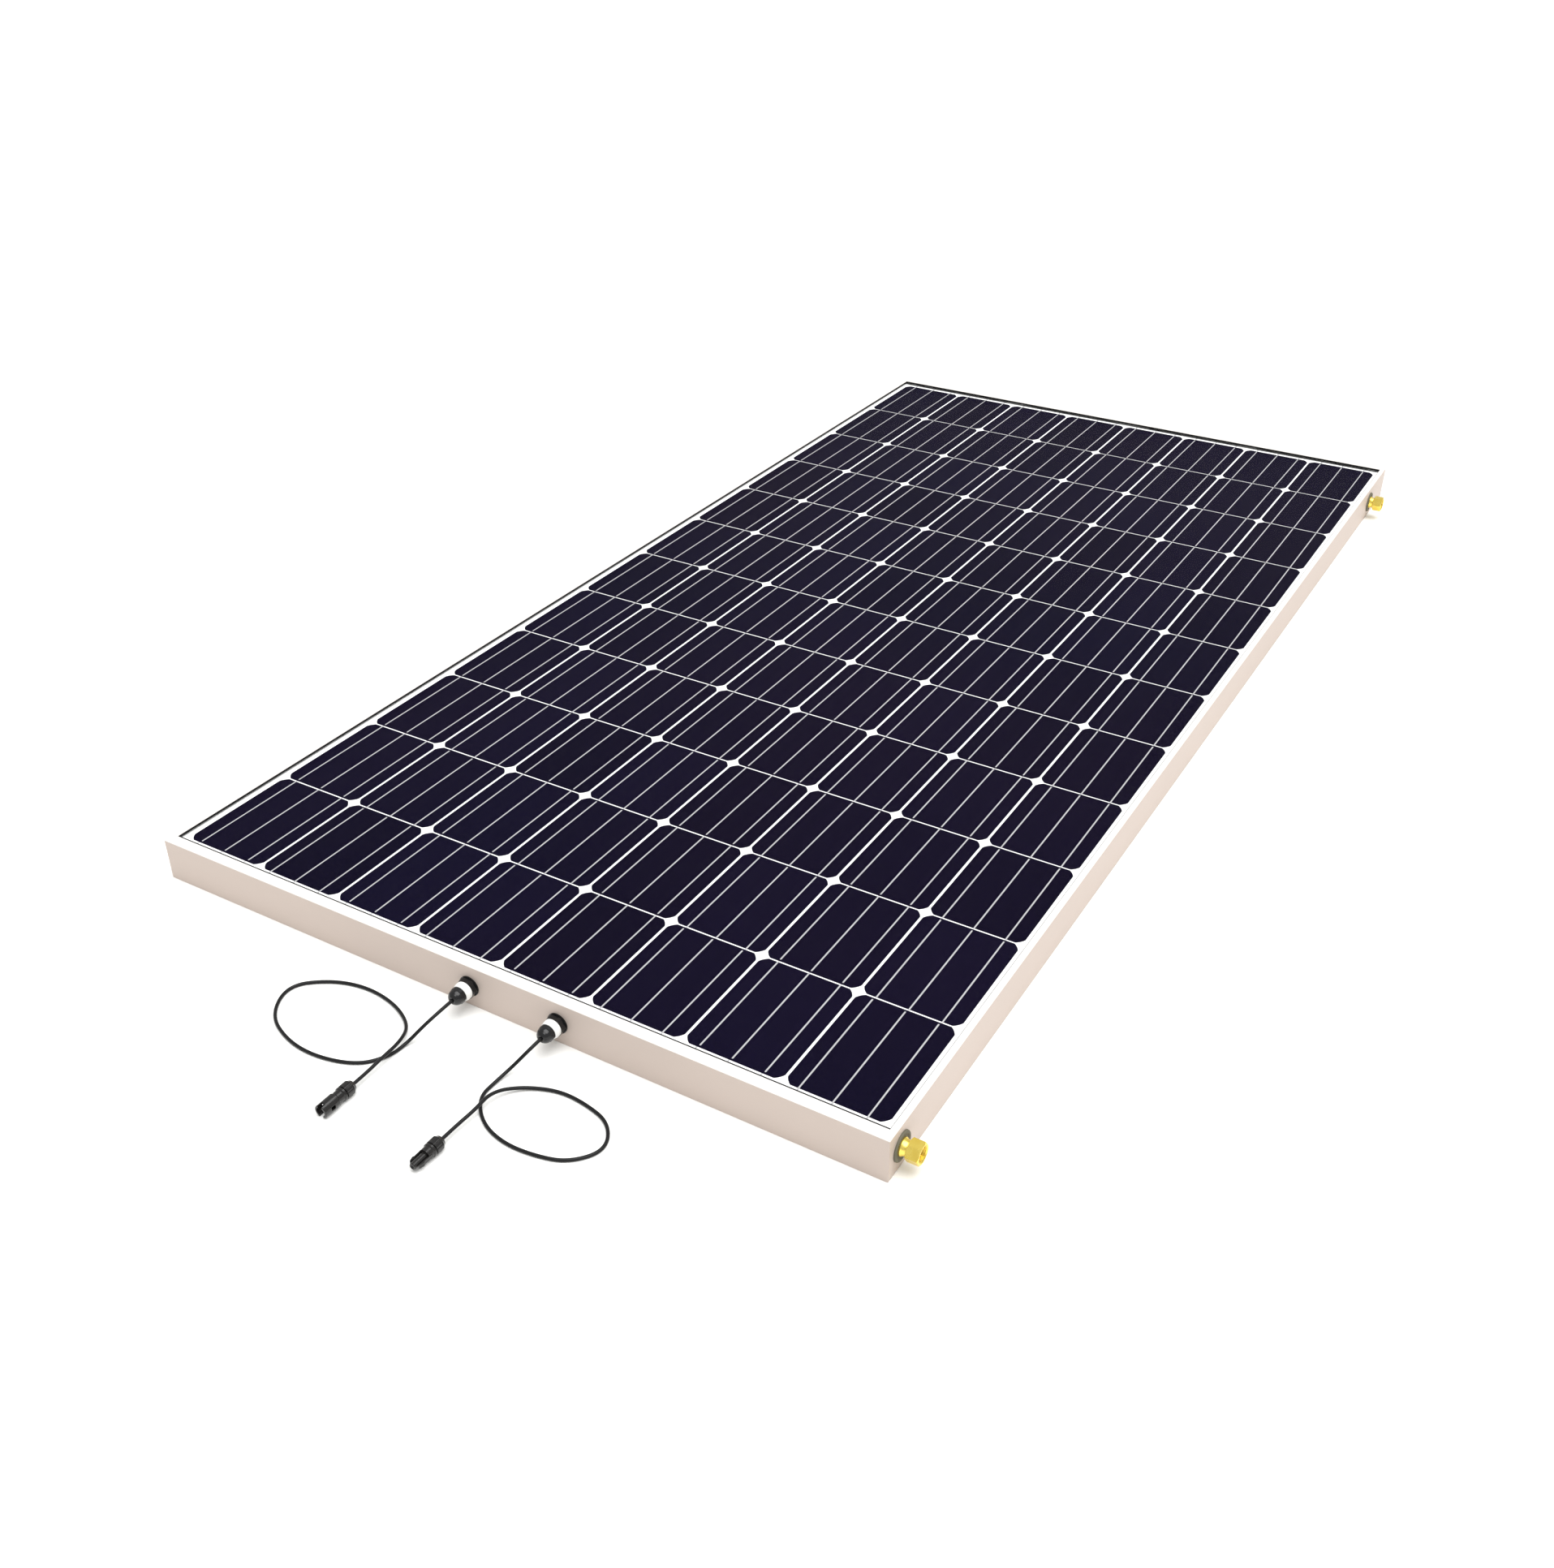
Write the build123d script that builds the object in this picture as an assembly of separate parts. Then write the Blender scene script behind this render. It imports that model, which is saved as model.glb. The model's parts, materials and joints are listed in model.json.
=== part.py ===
"""Photovoltaic-thermal panel: a cell laminate over a liquid-heated absorber plate in an aluminium casing.

Units are millimetres, +Z is up. The origin is the centre of the casing on its bottom plane.
The leads come out of the front rail (-Y) and the pipe ends out of the right rail (+X).
Each piece is one node, written to parts/NODE.step.
"""
import os
from math import acos, pi, sqrt, tan

from build123d import *

os.makedirs("parts", exist_ok=True)

# ---------------------------------------------------------------- casing
CASE_X = 992.0
CASE_Y = 2000.0
CASE_Z = 55.0
HALF_X = CASE_X / 2
HALF_Y = CASE_Y / 2
WALL = 1.8
LIP_LONG_SIDE = 7.5
LIP_SHORT_SIDE = 14.5
LIP_UNDER_Z = 53.6
EDGE_ROUND = 1.0
FLANGE = 28.0
SHELF_TOP_Z = 47.75
SHELF_UNDER_Z = 46.15
SHELF_DEPTH = 13.6
CHAMBER_FLOOR_Z = 39.55
CHAMBER_DEPTH = 11.8
LIP_MITRE_Z = 50.0
MITRE_REACH = 32.0
KEY_GAP = 0.2
KEY_LEG = 45.0
COVER_Z = 2.6
COVER_INSET = 20.0
INSULATION_TOP_Z = 18.6
INSULATION_INSET = 28.5
MOUNT_HOLE_R = 4.5
MOUNT_HOLE_INSET = 10.5
MOUNT_HOLE_Y = 600.0
EARTH_HOLE_R = 2.1
EARTH_HOLE_Y = 80.0
RIVET_INSET = 24.0
RIVET_R = 2.0
RIVET_HEAD_R = 3.6
RIVET_HEAD_DEPTH = 1.3
RIVET_TAIL_R = 3.1
RIVET_FIT = 0.05
RIVET_YS = (-900, -700, -500, -300, -100, 100, 300, 500, 700, 900)
RIVET_XS = (-400, -150, 150, 400)
VENT_X = 300.0
VENT_Y = 700.0
VENT_HOLE_R = 4.1
VENT_CLEAR_R = 7.0

# ---------------------------------------------------------------- laminate
CELL_COLUMNS = 8
CELL_ROWS = 12
PITCH_X = 120.7
PITCH_Y = 162.8
COLUMN_GAP = 3.2
ROW_GAP = 2.2
CORNER_X = 8.0
CORNER_Y = 9.5
CORNER_BULGE = 0.6
BUSBAR_OFFSETS = (-39.15, 0.0, 39.15)
RIBBON_W = 1.8
RIBBON_END_INSET = 4.0
GLASS_INSET = 4.0
GLASS_TOP_Z = 53.2
GLASS_UNDER_Z = 50.0
GLASS_EDGE = 0.4
RIBBON_TOP_Z = 49.7
CELL_TOP_Z = 49.55
CELL_UNDER_Z = 49.35
RIBBON_UNDER_Z = 49.2
BACKSHEET_TOP_Z = 48.9
BACKSHEET_UNDER_Z = 48.55
FILM_RIM_X = 12.0
FILM_RIM_Y = 9.2
BUS_OUTER_Y = 990.0
BUS_INNER_Y = 983.6
BUS_OVERHANG = 3.0
FEEDER_W = 4.0
FEEDER_T = 0.2
FEEDER_RISE_Y = -985.0
FEEDER_END_Y = -921.0
# lane centre y, x of the tab up to the bus ribbon, x of the leg into the junction box
FEEDERS = (
    (-979.6, -414.45, -36.0),
    (-984.2, -241.4, -12.0),
    (-984.2, 241.4, 12.0),
    (-979.6, 414.45, 36.0),
)
GASKET_FOOT = 13.6
BEAD_SHORT_SIDE = 2.0
BEAD_LONG_SIDE = 0.5
BEAD_TOP_Z = 54.7

# ---------------------------------------------------------------- hydraulics
HEADER_R = 7.5
HEADER_BORE_R = 6.5
HEADER_Z = 27.5
HEADER_BEND = 25.0
HEADER_LEFT_X = -470.0
HEADER_RIGHT_X = 486.0
FRONT_HEADER_Y = -950.0
FRONT_PORT_Y = -974.0
BACK_PORT_Y = 890.0
CAP_R = 8.5
RISER_XS = (-413.0, -295.0, -177.0, -59.0, 59.0, 177.0, 295.0, 413.0)
RISER_R = 4.0
RISER_BORE_R = 3.4
RISER_Z = 43.7
RISER_HOLE_R = 4.05
RISER_INTO_HEADER = 5.0
RISER_BEND = 25.0
RISER_STRAIGHT = 20.0
RISER_CRANK = 40.0
FRONT_BEND_X = HEADER_RIGHT_X - 26.0
PLATE_HALF_X = 481.8
PLATE_FRONT_Y = -977.0
PLATE_BACK_Y = 985.0
PLATE_NOTCH_X = 50.0
PLATE_NOTCH_Y = -878.0
PORT_HOLE_R = 10.1
NUT_FLATS = 22.4
NUT_START = 9.0
NUT_END = 24.0

# ---------------------------------------------------------------- electrics
BOX_HALF_X = 48.0
BOX_FRONT_Y = -936.0
BOX_BACK_Y = -880.0
BOX_LOW_Z = 30.5
BOX_WALL = 2.0
LID_LOW_Z = 28.5
LID_RIM = 3.0
LID_RIM_WALL = 1.5
BOX_WINDOW_HALF_X = 42.0
BOX_WINDOW_BACK_Y = -918.0
TERMINAL_XS = (-36.0, -12.0, 12.0, 36.0)
TERMINAL_HALF_X = 4.0
TERMINAL_Y = -927.0
TERMINAL_LOW_Z = 40.5
TERMINAL_HALF_Y = 6.5
DIODE_Z = 43.0
DIODE_R = 2.6
DIODE_HALF = 4.8
DIODE_WIRE_R = 0.6
LEAD_R = 2.0
INNER_LEAD_Z = 38.5
GLAND_XS = (-22.0, 99.0)
GLAND_Z = 27.5
GLAND_HOLE_R = 8.1
GLAND_SHANK_R = 8.0
GLAND_NUT_BORE_R = 8.05
GLAND_COLLAR_START = 8.0
GLAND_DOME_START = 17.0
GLAND_MOUTH = 30.0
SEAL_BORE_R = 2.08
SEAL_R = 4.3
SEAL_SEAT_R = 4.6
PLUG_NUT_R = 8.0
PLUG_FLANGE_R = 7.9
PLUG_WAIST_R = 6.8
PLUG_WAIST_END = 25.0
PIN_PLUG = (-40.0, -1168.0, PLUG_NUT_R)
SOCKET_PLUG = (91.0, -1182.0, PLUG_NUT_R)
CONTACT_R = 2.25
LATCH_W = 4.2
LATCH_PIVOT = (6.1, 23.0)
LATCH_BEAD_R = 0.9

# ---------------------------------------------------------------- free leads: hand-laid routes
FILLET_SHARE = 0.45
LEFT_ROUTE = (
    (-22, -1030, 27.5),
    (-22, -1050, 27.5),
    (-30, -1070, 17),
    (-40, -1087, 2),
    (-42, -1112, 2),
    (-62, -1139, 2),
    (-108, -1152, 2),
    (-153, -1149, 2),
    (-199, -1128, 2),
    (-221, -1081, 2),
    (-185, -1050, 2),
    (-142, -1038, 2),
    (-95, -1044, 2),
    (-57, -1064, 3),
    (-41, -1094, 10),
    (-40, -1126, 10),
    (-40, -1149, 8),
    (-40, -1168, 8),
)
RIGHT_ROUTE = (
    (99, -1030, 27.5),
    (99, -1047, 27.5),
    (86, -1061, 9),
    (80, -1082, 2),
    (80, -1112, 2),
    (107, -1139, 2),
    (142, -1150, 2),
    (179, -1148, 2),
    (214, -1138, 2),
    (237, -1106, 2),
    (217, -1073, 2),
    (178, -1063, 2),
    (144, -1062, 2),
    (110, -1077, 3),
    (92, -1104, 10),
    (94, -1134, 10),
    (91, -1160, 8),
    (91, -1182, 8),
)
LEFT_INNER_ROUTE = (
    (-36, -926, 38.5),
    (-36, -955, 38.5),
    (-22, -975, 27.5),
    (-22, -1030, 27.5),
)
RIGHT_INNER_ROUTE = (
    (36, -926, 38.5),
    (36, -952, 38.5),
    (62, -966, 32),
    (99, -974, 27.5),
    (99, -1030, 27.5),
)


# ---------------------------------------------------------------- helpers
def save(name, *shapes):
    """Write one node; a group of pieces stays a group of separate solids."""
    solids = [solid for shape in shapes for solid in shape.solids()]
    export_step(Compound(children=solids), f"parts/{name}.step")
    print(f"{name}: {len(solids)} solid(s), {sum(solid.volume for solid in solids):.1f} mm3")


def block(x0, x1, y0, y1, z0, z1):
    """Box between two corners."""
    return Pos((x0 + x1) / 2, (y0 + y1) / 2, (z0 + z1) / 2) * Box(x1 - x0, y1 - y0, z1 - z0)


def slab(inset_x, inset_y, z0, z1):
    """Flat sheet set in from the casing's outer faces."""
    half_x = HALF_X - inset_x
    half_y = HALF_Y - inset_y
    return block(-half_x, half_x, -half_y, half_y, z0, z1)


def band(outer, inner, z0, z1):
    """Rectangular ring between two (inset_x, inset_y) outlines."""
    return slab(*outer, z0, z1) - slab(*inner, z0, z1)


def turned(*outline):
    """Solid of revolution about local Z from (radius, height) corners."""
    return revolve(Plane.XZ * Polygon(*outline, align=None), Axis.Z)


def tube(outer_r, inner_r, z0, z1):
    """Straight tube along local Z."""
    return turned((inner_r, z0), (outer_r, z0), (outer_r, z1), (inner_r, z1))


def rod(radius, z0, z1):
    """Straight rod along local Z."""
    return Pos(0, 0, (z0 + z1) / 2) * Cylinder(radius, z1 - z0)


def hexagon(across_flats, z0, z1):
    """Hexagonal bar along local Z."""
    outline = RegularPolygon(across_flats / 2, 6, major_radius=False)
    return extrude(Pos(0, 0, z0) * outline, z1 - z0)


def facing_right(y, z=HEADER_Z):
    """Frame on the right wall's outer face, local Z pointing out."""
    return Plane(origin=(HALF_X, y, z), x_dir=(0, 1, 0), z_dir=(1, 0, 0))


def facing_front(x, y=-HALF_Y, z=GLAND_Z):
    """Frame with local Z pointing out of the front wall and local Y pointing up."""
    return Plane(origin=(x, y, z), x_dir=(1, 0, 0), z_dir=(0, -1, 0))


def bend_radii(route):
    """Bend radius at each inner corner: the arc uses a fixed share of the shorter run beside it."""
    radii = []
    for before, corner, after in zip(route, route[1:], route[2:]):
        run_in = Vector(corner) - Vector(before)
        run_out = Vector(after) - Vector(corner)
        cosine = run_in.dot(run_out) / (run_in.length * run_out.length)
        turn = acos(max(-1.0, min(1.0, cosine)))
        radii.append(FILLET_SHARE * min(run_in.length, run_out.length) / tan(turn / 2))
    return radii


def swept(route, radii, outer_r, inner_r=0.0):
    """Round bar or tube along a filleted route."""
    path = FilletPolyline(*route, radius=radii)
    section = Circle(outer_r)
    if inner_r:
        section -= Circle(inner_r)
    return sweep(Plane(origin=path @ 0, z_dir=path % 0) * section, path=path)


def lead(name, route):
    """Round lead; prints its bend radii and compares its volume with section times length."""
    radii = bend_radii(route)
    length = FilletPolyline(*route, radius=radii).length
    solid = swept(route, radii, LEAD_R)
    expected = pi * LEAD_R**2 * length
    print(f"{name}: length {length:.1f}, radii {[round(radius, 1) for radius in radii]}")
    print(f"{name}: volume {solid.volume:.1f}, section x length {expected:.1f}")
    return solid


# ---------------------------------------------------------------- casing
def rail_section(lip):
    """Rail profile: x is the distance in from the outer face, y is the height."""
    outline = Polygon(
        (0, 0),
        (FLANGE, 0),
        (FLANGE, WALL),
        (WALL, WALL),
        (WALL, CHAMBER_FLOOR_Z - WALL),
        (SHELF_DEPTH, CHAMBER_FLOOR_Z - WALL),
        (SHELF_DEPTH, SHELF_TOP_Z),
        (WALL, SHELF_TOP_Z),
        (WALL, LIP_UNDER_Z),
        (lip, LIP_UNDER_Z),
        (lip, CASE_Z),
        (0, CASE_Z),
        align=None,
    )
    top_corner = outline.vertices().group_by(Axis.Y)[-1].sort_by(Axis.X)[0]
    outline = fillet(top_corner, EDGE_ROUND)
    chamber = Polygon(
        (WALL, CHAMBER_FLOOR_Z),
        (CHAMBER_DEPTH, CHAMBER_FLOOR_Z),
        (CHAMBER_DEPTH, SHELF_UNDER_Z),
        (WALL, SHELF_UNDER_Z),
        align=None,
    )
    return outline - chamber


def mitre_keep(length, reach_across, reach_along, z0, z1):
    """Trapezoid that a mitred rail fits in: x is inward, y runs along the rail from its middle."""
    half = length / 2
    outline = Polygon(
        (0, -half),
        (reach_across, -half + reach_along),
        (reach_across, half - reach_along),
        (0, half),
        align=None,
    )
    return extrude(Pos(0, 0, z0) * outline, z1 - z0)


def rail(length, lip, lip_reach_across, lip_reach_along):
    """Mitred rail lying along Y with its outer face at x = 0."""
    section = Plane(origin=(0, length / 2, 0), x_dir=(1, 0, 0), z_dir=(0, -1, 0)) * rail_section(lip)
    bar = extrude(section, length)
    body = mitre_keep(length, MITRE_REACH, MITRE_REACH, 0, LIP_MITRE_Z)
    top = mitre_keep(length, lip_reach_across, lip_reach_along, LIP_MITRE_Z, CASE_Z)
    return (bar & body) + (bar & top)


def short_rail():
    """Rail of a short side, before its holes."""
    return rail(CASE_X, LIP_SHORT_SIDE, 2 * LIP_SHORT_SIDE, 2 * LIP_LONG_SIDE)


def long_rail():
    """Rail of a long side, before its holes."""
    return rail(CASE_Y, LIP_LONG_SIDE, 2 * LIP_LONG_SIDE, 2 * LIP_SHORT_SIDE)


def rivet_spots_long(side):
    """Rivet positions along one long side."""
    return [(side * (HALF_X - RIVET_INSET), y) for y in RIVET_YS]


def rivet_spots_short(side):
    """Rivet positions along one short side."""
    return [(x, side * (HALF_Y - RIVET_INSET)) for x in RIVET_XS]


def all_rivet_spots():
    """Rivet positions of the whole cover."""
    long_spots = rivet_spots_long(-1) + rivet_spots_long(1)
    return long_spots + rivet_spots_short(-1) + rivet_spots_short(1)


def rivet(grow=0.0):
    """Countersunk rivet on the local Z axis; grow gives the hole that it fits in."""
    head_r = RIVET_HEAD_R + grow
    shank_r = RIVET_R + grow
    tail_r = shank_r if grow else RIVET_TAIL_R
    return turned(
        (0, 0),
        (head_r, 0),
        (shank_r, RIVET_HEAD_DEPTH),
        (shank_r, COVER_Z),
        (tail_r, COVER_Z),
        (tail_r, COVER_Z + 0.6),
        (shank_r, COVER_Z + 1.0),
        (0, COVER_Z + 1.0),
    )


def flange_holes(spots):
    """Countersunk rivet holes."""
    return [Pos(x, y, 0) * rivet(RIVET_FIT) for x, y in spots]


def round_holes(radius, spots, z0, z1):
    """Plain vertical holes."""
    return [Pos(x, y, 0) * rod(radius, z0, z1) for x, y in spots]


def front_rail():
    """Short rail with the two gland holes."""
    body = Plane(origin=(0, -HALF_Y, 0), x_dir=(0, 1, 0), z_dir=(0, 0, 1)) * short_rail()
    for x in GLAND_XS:
        body -= facing_front(x) * rod(GLAND_HOLE_R, -2 * WALL, WALL)
    return body - flange_holes(rivet_spots_short(-1))


def back_rail():
    """Short rail without wall holes."""
    body = Plane(origin=(0, HALF_Y, 0), x_dir=(0, -1, 0), z_dir=(0, 0, 1)) * short_rail()
    return body - flange_holes(rivet_spots_short(1))


def side_rail(side):
    """Long rail; side is -1 for the left one and +1 for the right one."""
    body = Plane(origin=(side * HALF_X, 0, 0), x_dir=(-side, 0, 0), z_dir=(0, 0, 1)) * long_rail()
    x = side * (HALF_X - MOUNT_HOLE_INSET)
    mount_spots = [(x, -MOUNT_HOLE_Y), (x, MOUNT_HOLE_Y)]
    body -= round_holes(MOUNT_HOLE_R, mount_spots, -1, WALL + 1)
    body -= round_holes(EARTH_HOLE_R, [(x, EARTH_HOLE_Y)], -1, WALL + 1)
    return body - flange_holes(rivet_spots_long(side))


def right_rail():
    """Long rail with the two pipe holes."""
    body = side_rail(1)
    for y in (FRONT_PORT_Y, BACK_PORT_Y):
        body -= facing_right(y) * rod(PORT_HOLE_R, -2 * WALL, WALL)
    return body


def corner_keys():
    """L keys in the rail chambers, one in each corner."""
    inset = WALL + KEY_GAP
    depth = CHAMBER_DEPTH - KEY_GAP
    z0 = CHAMBER_FLOOR_Z + KEY_GAP
    z1 = SHELF_UNDER_Z - KEY_GAP
    keys = []
    for sx in (-1, 1):
        for sy in (-1, 1):
            leg_x = block(inset, KEY_LEG, inset, depth, z0, z1)
            leg_y = block(inset, depth, inset, KEY_LEG, z0, z1)
            key = Pos(-HALF_X, -HALF_Y, 0) * (leg_x + leg_y)
            key = mirror(key, Plane.YZ) if sx > 0 else key
            keys.append(mirror(key, Plane.XZ) if sy > 0 else key)
    return keys


def vent_spots():
    """Vent positions."""
    return [(sx * VENT_X, sy * VENT_Y) for sx in (-1, 1) for sy in (-1, 1)]


def back_cover():
    """Bottom sheet riveted on the rail flanges."""
    sheet = slab(COVER_INSET, COVER_INSET, WALL, COVER_Z)
    sheet -= flange_holes(all_rivet_spots())
    return sheet - round_holes(VENT_HOLE_R, vent_spots(), 0, 2 * COVER_Z)


def vent_plug():
    """Breather pushed up through the cover: flat head below, hooked rim above."""
    return turned(
        (1.2, 0.6),
        (6.0, 0.6),
        (6.0, WALL),
        (4.0, WALL),
        (4.0, COVER_Z),
        (4.7, COVER_Z),
        (3.8, 4.4),
        (1.2, 4.4),
    )


def insulation_board():
    """Mineral wool board on the cover, holed over the vents."""
    board = slab(INSULATION_INSET, INSULATION_INSET, COVER_Z, INSULATION_TOP_Z)
    return board - round_holes(VENT_CLEAR_R, vent_spots(), 0, 2 * INSULATION_TOP_Z)


# ---------------------------------------------------------------- laminate
def string_x(column):
    """Centre of a cell string."""
    return (column - (CELL_COLUMNS - 1) / 2) * PITCH_X


def cell_y(row):
    """Centre of a cell in its string."""
    return (row - (CELL_ROWS - 1) / 2) * PITCH_Y


def cell_outline():
    """Pseudo-square cell outline with the wafer's rounded corners."""
    hx = (PITCH_X - COLUMN_GAP) / 2
    hy = (PITCH_Y - ROW_GAP) / 2
    edges = []
    for sx, sy in ((1, 1), (-1, 1), (-1, -1), (1, -1)):
        on_side = (sx * hx, sy * (hy - CORNER_Y))
        on_end = (sx * (hx - CORNER_X), sy * hy)
        middle = (sx * (hx - CORNER_X / 2 + CORNER_BULGE), sy * (hy - CORNER_Y / 2 + CORNER_BULGE))
        edges.append(ThreePointArc(on_side, middle, on_end))
    for sy in (-1, 1):
        edges.append(Line((-hx + CORNER_X, sy * hy), (hx - CORNER_X, sy * hy)))
    for sx in (-1, 1):
        edges.append(Line((sx * hx, -hy + CORNER_Y), (sx * hx, hy - CORNER_Y)))
    return make_face(edges)


def cell_string(column):
    """Twelve cells in a row."""
    cell = extrude(cell_outline(), CELL_TOP_Z - CELL_UNDER_Z)
    return [Pos(string_x(column), cell_y(row), CELL_UNDER_Z) * cell for row in range(CELL_ROWS)]


def step_ribbon(row, direction):
    """Side view (y, z) of a ribbon from the top of one cell, down the gap, to under the next."""
    gap = cell_y(row) + PITCH_Y / 2
    near = gap - ROW_GAP / 2
    far = gap + ROW_GAP / 2
    high_end = cell_y(row) - PITCH_Y / 2 + RIBBON_END_INSET
    low_end = cell_y(row + 1) + PITCH_Y / 2 - RIBBON_END_INSET
    side = [
        (high_end, CELL_TOP_Z),
        (near + 0.3, CELL_TOP_Z),
        (far - 0.5, RIBBON_UNDER_Z),
        (low_end, RIBBON_UNDER_Z),
        (low_end, CELL_UNDER_Z),
        (far - 0.3, CELL_UNDER_Z),
        (near + 0.5, RIBBON_TOP_Z),
        (high_end, RIBBON_TOP_Z),
    ]
    if direction > 0:
        return side
    return [(2 * gap - y, z) for y, z in reversed(side)]


def end_ribbon(row, end, on_top):
    """Side view (y, z) of the straight ribbon from an end cell to its bus ribbon."""
    start = cell_y(row) - end * (PITCH_Y / 2 - RIBBON_END_INSET)
    stop = end * BUS_OUTER_Y
    z0, z1 = (CELL_TOP_Z, RIBBON_TOP_Z) if on_top else (RIBBON_UNDER_Z, CELL_UNDER_Z)
    return [(start, z0), (stop, z0), (stop, z1), (start, z1)]


def ribbon_solid(side, x):
    """Ribbon of standard width from its side view."""
    frame = Plane(origin=(x - RIBBON_W / 2, 0, 0), x_dir=(0, 1, 0), z_dir=(1, 0, 0))
    return extrude(frame * Polygon(*side, align=None), RIBBON_W)


def interconnect_ribbons():
    """Every cell ribbon; neighbouring strings run in opposite directions."""
    ribbons = []
    for column in range(CELL_COLUMNS):
        upward = column % 2 == 0
        sides = [step_ribbon(row, 1 if upward else -1) for row in range(CELL_ROWS - 1)]
        sides.append(end_ribbon(0, -1, on_top=not upward))
        sides.append(end_ribbon(CELL_ROWS - 1, 1, on_top=upward))
        for offset in BUSBAR_OFFSETS:
            ribbons += [ribbon_solid(side, string_x(column) + offset) for side in sides]
    return ribbons


def bus_ribbon(first, last, end):
    """Cross ribbon joining the ends of strings first..last at one end of the laminate."""
    x0 = string_x(first) + BUSBAR_OFFSETS[0] - BUS_OVERHANG
    x1 = string_x(last) + BUSBAR_OFFSETS[-1] + BUS_OVERHANG
    y0, y1 = sorted((end * BUS_INNER_Y, end * BUS_OUTER_Y))
    return block(x0, x1, y0, y1, CELL_UNDER_Z, CELL_TOP_Z)


def bus_ribbons():
    """Bus ribbons: pairs at the back, pairs offset by one string at the front."""
    back = [bus_ribbon(column, column + 1, 1) for column in (0, 2, 4, 6)]
    front = [bus_ribbon(first, last, -1) for first, last in ((0, 0), (1, 2), (3, 4), (5, 6), (7, 7))]
    return back + front


def feeder(lane_y, tab_x, leg_x):
    """Flat ribbon behind the backsheet: a riser to the bus, a lane and a leg into the junction box."""
    z0 = BACKSHEET_UNDER_Z - FEEDER_T
    half = FEEDER_W / 2
    x0, x1 = sorted((tab_x, leg_x))
    lane = block(x0 - half, x1 + half, lane_y - half, lane_y + half, z0, BACKSHEET_UNDER_Z)
    leg = block(leg_x - half, leg_x + half, lane_y, FEEDER_END_Y, z0, BACKSHEET_UNDER_Z)
    tab_y0 = FEEDER_RISE_Y - FEEDER_T / 2
    tab = block(tab_x - half, tab_x + half, tab_y0, lane_y, z0, BACKSHEET_UNDER_Z)
    riser = block(tab_x - half, tab_x + half, tab_y0, tab_y0 + FEEDER_T, z0, CELL_UNDER_Z)
    return lane + leg + tab + riser


def feeder_slits():
    """Slits in the films for the feeder risers."""
    half = FEEDER_W / 2 + 0.2
    y0 = FEEDER_RISE_Y - 0.25
    y1 = FEEDER_RISE_Y + 0.25
    return [block(x - half, x + half, y0, y1, BACKSHEET_UNDER_Z, CELL_UNDER_Z) for _, x, _ in FEEDERS]


def front_glass():
    """Tempered sheet with dulled edges."""
    sheet = slab(GLASS_INSET, GLASS_INSET, GLASS_UNDER_Z, GLASS_TOP_Z)
    return chamfer(sheet.edges().group_by(Axis.Z)[-1], GLASS_EDGE)


def rear_encapsulant():
    """Film under the cells with a rim that closes the laminate's edge."""
    film = slab(GLASS_INSET, GLASS_INSET, BACKSHEET_TOP_Z, RIBBON_UNDER_Z)
    rim = band((GLASS_INSET, GLASS_INSET), (FILM_RIM_X, FILM_RIM_Y), RIBBON_UNDER_Z, RIBBON_TOP_Z)
    return film + rim - feeder_slits()


def laminate_gasket():
    """Rubber U channel round the laminate, with the bead seen along the lips."""
    outer = (WALL, WALL)
    glass = (GLASS_INSET, GLASS_INSET)
    lip = (LIP_LONG_SIDE, LIP_SHORT_SIDE)
    bead = (LIP_LONG_SIDE + BEAD_LONG_SIDE, LIP_SHORT_SIDE + BEAD_SHORT_SIDE)
    web = band(outer, glass, SHELF_TOP_Z, LIP_UNDER_Z)
    foot = band(outer, (GASKET_FOOT, GASKET_FOOT), SHELF_TOP_Z, BACKSHEET_UNDER_Z)
    cover = band(outer, bead, GLASS_TOP_Z, LIP_UNDER_Z)
    return web + foot + cover + band(lip, bead, LIP_UNDER_Z, BEAD_TOP_Z)


# ---------------------------------------------------------------- hydraulics
def absorber_plate():
    """Aluminium sheet behind the laminate, notched for the junction box."""
    heights = (SHELF_TOP_Z, BACKSHEET_UNDER_Z)
    plate = block(-PLATE_HALF_X, PLATE_HALF_X, PLATE_FRONT_Y, PLATE_BACK_Y, *heights)
    return plate - block(-PLATE_NOTCH_X, PLATE_NOTCH_X, PLATE_FRONT_Y, PLATE_NOTCH_Y, *heights)


def riser_holes(header_y, direction):
    """Side holes of a header."""
    frame = Plane(origin=(0, header_y, HEADER_Z), x_dir=(1, 0, 0), z_dir=(0, direction, 0))
    return [frame * Pos(x, 0, 0) * rod(RISER_HOLE_R, 0, 2 * HEADER_R) for x in RISER_XS]


def front_header():
    """Header with a double bend to its port near the corner."""
    route = (
        (HEADER_LEFT_X, FRONT_HEADER_Y, HEADER_Z),
        (FRONT_BEND_X - abs(FRONT_PORT_Y - FRONT_HEADER_Y), FRONT_HEADER_Y, HEADER_Z),
        (FRONT_BEND_X, FRONT_PORT_Y, HEADER_Z),
        (HEADER_RIGHT_X, FRONT_PORT_Y, HEADER_Z),
    )
    return swept(route, HEADER_BEND, HEADER_R, HEADER_BORE_R) - riser_holes(FRONT_HEADER_Y, 1)


def back_header():
    """Straight header."""
    frame = Plane(origin=(0, BACK_PORT_Y, HEADER_Z), x_dir=(0, 1, 0), z_dir=(1, 0, 0))
    pipe = frame * tube(HEADER_R, HEADER_BORE_R, HEADER_LEFT_X, HEADER_RIGHT_X)
    return pipe - riser_holes(BACK_PORT_Y, -1)


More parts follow.
